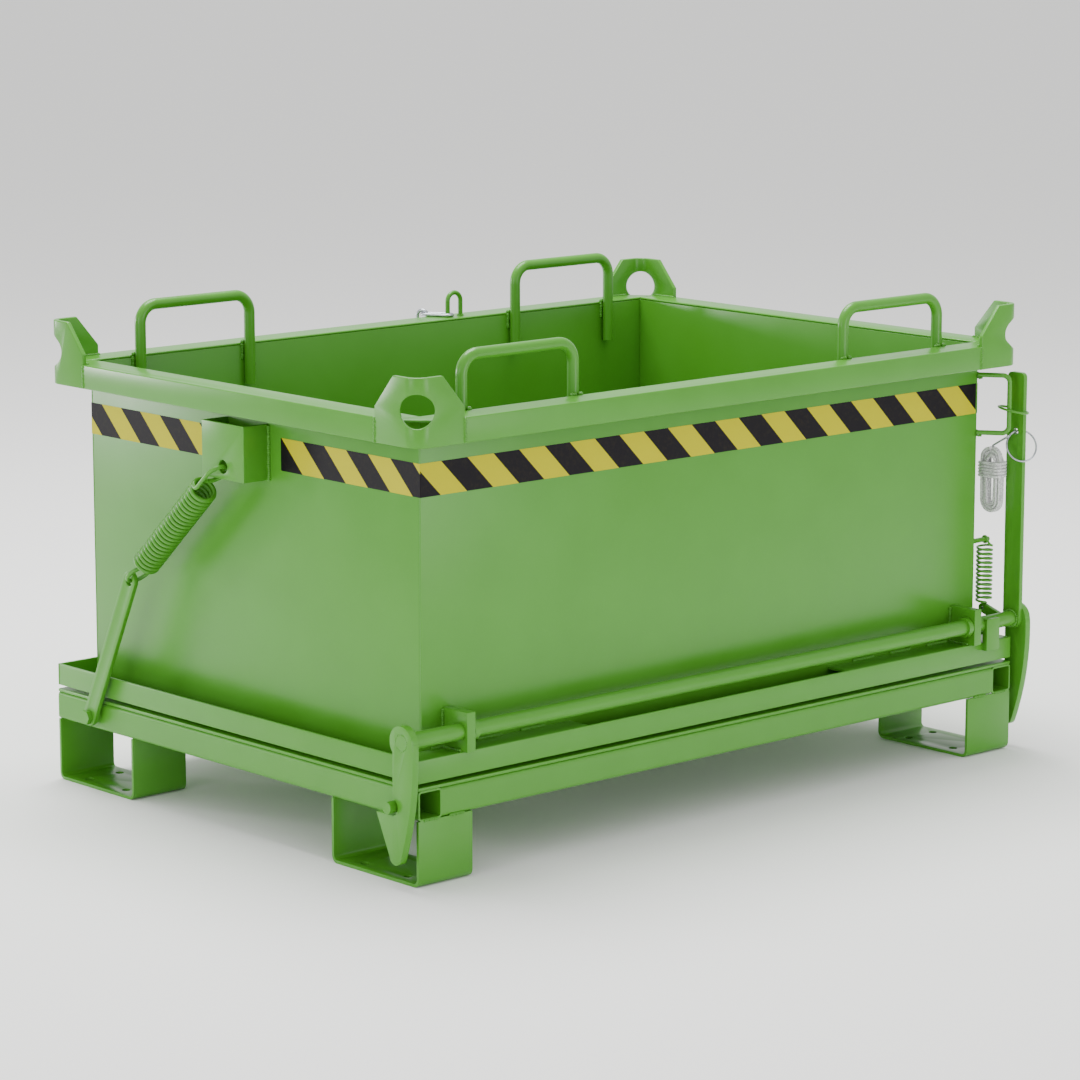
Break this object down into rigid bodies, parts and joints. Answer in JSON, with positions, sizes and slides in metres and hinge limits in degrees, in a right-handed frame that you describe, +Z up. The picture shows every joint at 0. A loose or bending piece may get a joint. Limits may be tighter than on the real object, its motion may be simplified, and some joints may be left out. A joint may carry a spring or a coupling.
{
  "type": "bottom-discharge lifting container",
  "caption": "Open rectangular steel lifting box on a hinged floor flap with feet, latch shaft, release lever, closing springs, corner lifting lugs and stacking handles.",
  "frame": {"origin": "centre of the footprint on the floor", "axes": "+X along the long side towards the release lever, +Y towards the flap's hinge at the back, +Z up"},
  "size_m": [1.37, 0.9439, 0.775],
  "materials": {
    "green_paint": "semi-gloss enamel over steel",
    "hazard_tape": "yellow and black striped tape",
    "zinc": "zinc plated",
    "rope": "braided white rope"
  },
  "bodies": {
    "container": {"wall_front": "green_paint", "wall_back": "green_paint", "wall_left": "green_paint", "wall_right": "green_paint", "rim_front": "green_paint", "rim_back": "green_paint", "rim_left": "green_paint", "rim_right": "green_paint", "lug_front_left": "green_paint", "lug_front_right": "green_paint", "lug_back_right": "green_paint", "lug_back_left": "green_paint", "handle_front_left": "green_paint", "handle_front_right": "green_paint", "handle_back_left": "green_paint", "handle_back_right": "green_paint", "frame_front": "green_paint", "frame_back": "green_paint", "frame_left": "green_paint", "frame_right": "green_paint", "gutter_plates": "green_paint", "bracket_left": "green_paint", "bracket_right": "green_paint", "bearing_plates": "green_paint", "tape_front_back": "hazard_tape", "tape_sides": "hazard_tape", "lever_guide": "green_paint", "chain_eye": "green_paint", "return_post": "green_paint", "return_coil": "green_paint", "hinge_frame": "green_paint"},
    "flap": {"floor_plate": "green_paint", "tube_left": "green_paint", "tube_right": "green_paint", "tube_front": "green_paint", "tube_back": "green_paint", "tube_cross": "green_paint", "foot_front_left": "green_paint", "foot_front_right": "green_paint", "foot_back_left": "green_paint", "foot_back_right": "green_paint", "latch_pins": "green_paint", "arm_bolts": "green_paint", "hinge_flap": "green_paint"},
    "latch": {"latch_shaft": "green_paint", "hook_left": "green_paint", "hook_right": "green_paint", "lever": "green_paint", "latch_tabs": "green_paint"},
    "arm_left": {"arm_left": "green_paint"},
    "arm_right": {"arm_right": "green_paint"},
    "spring_left": {"spring_left": "green_paint"},
    "spring_right": {"spring_right": "green_paint"},
    "tail_left": {"spring_tail_left": "green_paint"},
    "tail_right": {"spring_tail_right": "green_paint"},
    "lock": {"lock_ring": "green_paint"},
    "rope": {"pull_ring": "zinc", "rope_hank": "rope"},
    "chain": {"chain": "zinc"}
  },
  "joints": [
    {"name": "flap_hinge", "type": "hinge", "parent": "container", "child": "flap", "pos_m": [0, 0.459, 0.153], "axis": [1, 0, 0], "range_deg": [0, 85]},
    {"name": "latch_turn", "type": "hinge", "parent": "container", "child": "latch", "pos_m": [0, -0.441, 0.221], "axis": [1, 0, 0], "range_deg": [-25, 0], "stiffness_Nm_per_rad": 4, "springref_deg": 34.38, "deforming": ["return_coil"]},
    {"name": "lock_ring_slide", "type": "slide", "parent": "latch", "child": "lock", "axis": [0, 0, 1], "range_m": [0, 0.04]},
    {"name": "rope_swing", "type": "hinge", "parent": "latch", "child": "rope", "pos_m": [0.659, -0.4425, 0.536], "axis": [1, 0, 0], "range_deg": [-25, 0]},
    {"name": "chain_swing", "type": "hinge", "parent": "container", "child": "chain", "pos_m": [0.1665, 0.412, 0.686], "axis": [1, 0, 0], "range_deg": [0, 20]},
    {"name": "arm_left_turn", "type": "hinge", "parent": "flap", "child": "arm_left", "pos_m": [-0.659, 0.345, 0.1225], "axis": [1, 0, 0], "range_deg": [-69.35, 0]},
    {"name": "spring_left_turn", "type": "hinge", "parent": "container", "child": "spring_left", "pos_m": [-0.654, 0, 0.568], "axis": [1, 0, 0], "range_deg": [-6.13, 0]},
    {"name": "spring_left_stretch", "type": "slide", "parent": "spring_left", "child": "tail_left", "axis": [0, 0.742, -0.6704], "range_m": [0, 0.1436], "deforming": ["spring_left", "spring_tail_left"]},
    {"name": "arm_right_turn", "type": "hinge", "parent": "flap", "child": "arm_right", "pos_m": [0.659, 0.345, 0.1225], "axis": [1, 0, 0], "range_deg": [-69.35, 0]},
    {"name": "spring_right_turn", "type": "hinge", "parent": "container", "child": "spring_right", "pos_m": [0.654, 0, 0.568], "axis": [1, 0, 0], "range_deg": [-6.13, 0]},
    {"name": "spring_right_stretch", "type": "slide", "parent": "spring_right", "child": "tail_right", "axis": [0, 0.742, -0.6704], "range_m": [0, 0.1436], "deforming": ["spring_right", "spring_tail_right"]}
  ],
  "couplings": [
    {"joint": "arm_left_turn", "follows": "flap_hinge", "ratio": -0.80884},
    {"joint": "spring_left_turn", "follows": "flap_hinge", "ratio": -0.06862},
    {"joint": "spring_left_stretch", "follows": "flap_hinge", "m_per_rad": 0.095426},
    {"joint": "arm_right_turn", "follows": "flap_hinge", "ratio": -0.80884},
    {"joint": "spring_right_turn", "follows": "flap_hinge", "ratio": -0.06862},
    {"joint": "spring_right_stretch", "follows": "flap_hinge", "m_per_rad": 0.095426}
  ]
}
